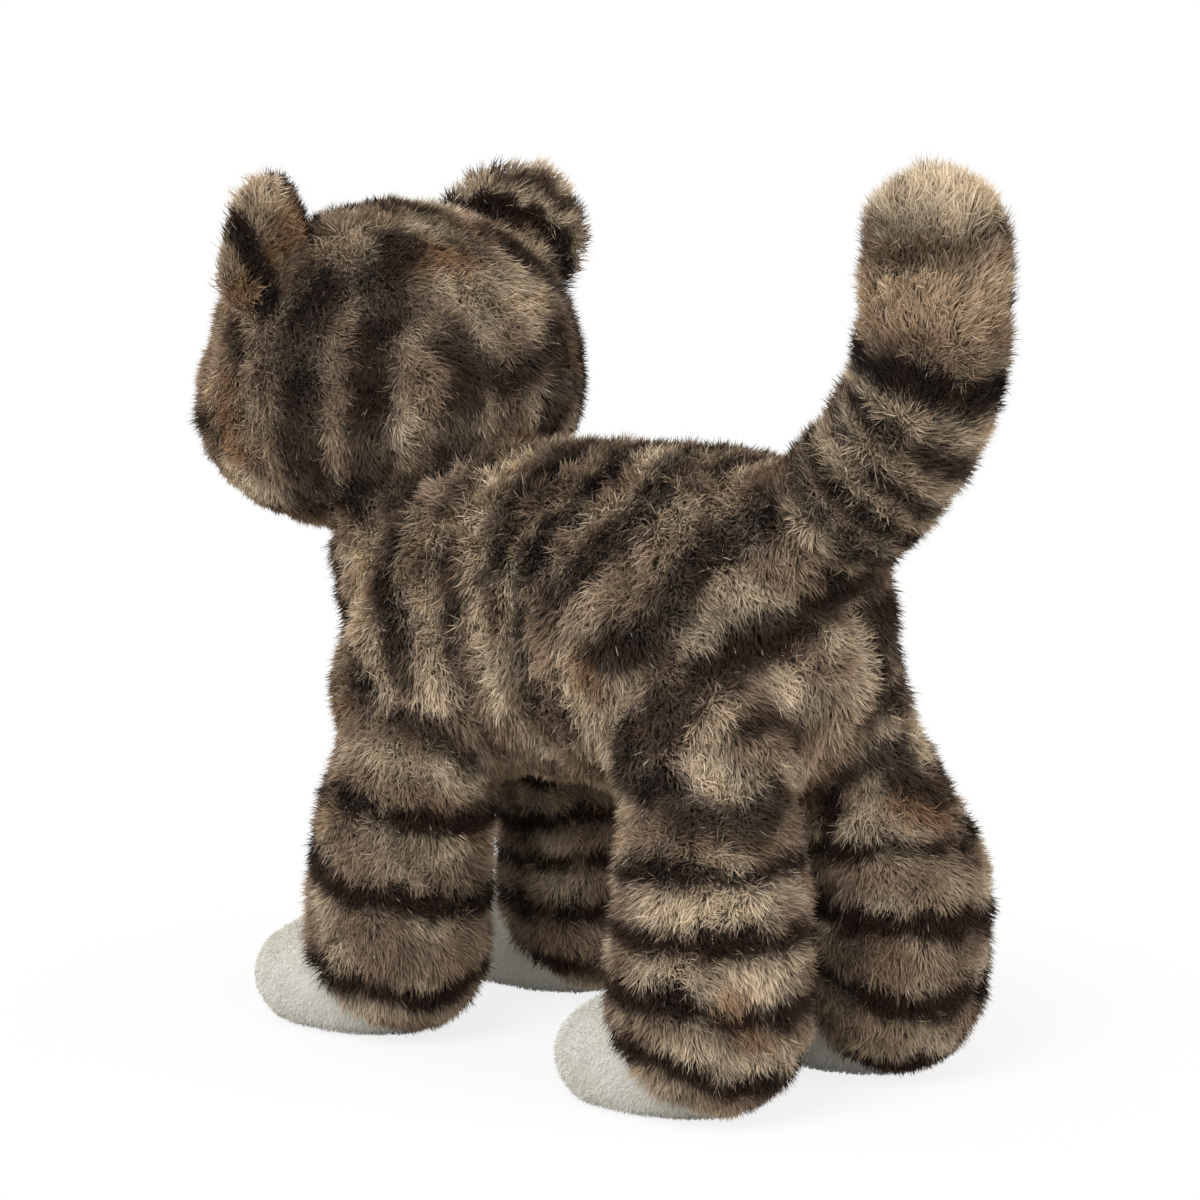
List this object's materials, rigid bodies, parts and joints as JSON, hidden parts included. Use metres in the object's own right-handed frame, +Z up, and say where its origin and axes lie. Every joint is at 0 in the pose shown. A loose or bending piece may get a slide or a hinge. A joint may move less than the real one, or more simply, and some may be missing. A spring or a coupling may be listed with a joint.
{
  "type": "plush cat",
  "caption": "Standing soft tabby kitten with raised tail: fur skins over firm stuffing, with sprung neck, ears, tail and legs.",
  "frame": {"origin": "on the floor, under the middle of the toy's bounding box", "axes": "+Z up, the kitten faces -Y and its own left side is towards +X"},
  "size_m": [0.087, 0.2228, 0.1934],
  "materials": {
    "tabby_fur": "brushed long pile",
    "belly_fur": "brushed pile",
    "white_plush": "short pile",
    "ear_plush": "short pile",
    "fibre_fill": "loose fibre",
    "bean_cloth": "plain weave",
    "eye_plastic": "polished",
    "nose_plastic": "satin",
    "washer_plastic": "moulded"
  },
  "bodies": {
    "trunk": {"body_side_left": "tabby_fur", "body_side_right": "tabby_fur", "belly_panel": "belly_fur", "body_stuffing": "fibre_fill", "belly_bean_bag": "bean_cloth"},
    "neck": {"neck_stuffing": "fibre_fill"},
    "head": {"head_side_left": "tabby_fur", "head_side_right": "tabby_fur", "head_gusset": "tabby_fur", "head_stuffing": "fibre_fill", "muzzle_skin": "white_plush", "muzzle_stuffing": "fibre_fill", "nose": "nose_plastic", "eye_left": "eye_plastic", "eye_right": "eye_plastic", "eye_washer_left": "washer_plastic", "eye_washer_right": "washer_plastic"},
    "tail": {"tail_skin": "tabby_fur", "tail_stuffing": "fibre_fill"},
    "ear_left": {"ear_back_left": "tabby_fur", "ear_lining_left": "ear_plush"},
    "front_leg_left": {"front_leg_skin_left": "tabby_fur", "front_leg_stuffing_left": "fibre_fill", "front_paw_cap_left": "white_plush", "front_sole_left": "white_plush", "front_bean_bag_left": "bean_cloth"},
    "hind_leg_left": {"hind_leg_skin_left": "tabby_fur", "hind_leg_stuffing_left": "fibre_fill", "hind_paw_cap_left": "white_plush", "hind_sole_left": "white_plush", "hind_bean_bag_left": "bean_cloth"},
    "ear_right": {"ear_back_right": "tabby_fur", "ear_lining_right": "ear_plush"},
    "front_leg_right": {"front_leg_skin_right": "tabby_fur", "front_leg_stuffing_right": "fibre_fill", "front_paw_cap_right": "white_plush", "front_sole_right": "white_plush", "front_bean_bag_right": "bean_cloth"},
    "hind_leg_right": {"hind_leg_skin_right": "tabby_fur", "hind_leg_stuffing_right": "fibre_fill", "hind_paw_cap_right": "white_plush", "hind_sole_right": "white_plush", "hind_bean_bag_right": "bean_cloth"}
  },
  "joints": [
    {"name": "head_turn", "type": "hinge", "parent": "trunk", "child": "neck", "pos_m": [0, -0.0645, 0.137], "axis": [0, 0, 1], "range_deg": [-20, 20], "stiffness_Nm_per_rad": 0.25},
    {"name": "head_nod", "type": "hinge", "parent": "neck", "child": "head", "pos_m": [0, -0.0645, 0.137], "axis": [1, 0, 0], "range_deg": [-12, 12], "stiffness_Nm_per_rad": 0.25},
    {"name": "ear_left_fold", "type": "hinge", "parent": "head", "child": "ear_left", "pos_m": [0.028, -0.0685, 0.161], "axis": [0.7094, 0.4967, -0.5], "range_deg": [-20, 30], "stiffness_Nm_per_rad": 0.003},
    {"name": "ear_right_fold", "type": "hinge", "parent": "head", "child": "ear_right", "pos_m": [-0.028, -0.0685, 0.161], "axis": [0.7094, -0.4967, 0.5], "range_deg": [-20, 30], "stiffness_Nm_per_rad": 0.003},
    {"name": "tail_lift", "type": "hinge", "parent": "trunk", "child": "tail", "pos_m": [0, 0.066, 0.116], "axis": [1, 0, 0], "range_deg": [-30, 15], "stiffness_Nm_per_rad": 0.08},
    {"name": "front_leg_left_swing", "type": "hinge", "parent": "trunk", "child": "front_leg_left", "pos_m": [0.025, -0.032, 0.074], "axis": [1, 0, 0], "range_deg": [-15, 12], "stiffness_Nm_per_rad": 0.4},
    {"name": "hind_leg_left_swing", "type": "hinge", "parent": "trunk", "child": "hind_leg_left", "pos_m": [0.025, 0.062, 0.074], "axis": [1, 0, 0], "range_deg": [-12, 15], "stiffness_Nm_per_rad": 0.4},
    {"name": "front_leg_right_swing", "type": "hinge", "parent": "trunk", "child": "front_leg_right", "pos_m": [-0.025, -0.032, 0.074], "axis": [1, 0, 0], "range_deg": [-15, 12], "stiffness_Nm_per_rad": 0.4},
    {"name": "hind_leg_right_swing", "type": "hinge", "parent": "trunk", "child": "hind_leg_right", "pos_m": [-0.025, 0.062, 0.074], "axis": [1, 0, 0], "range_deg": [-12, 15], "stiffness_Nm_per_rad": 0.4}
  ]
}
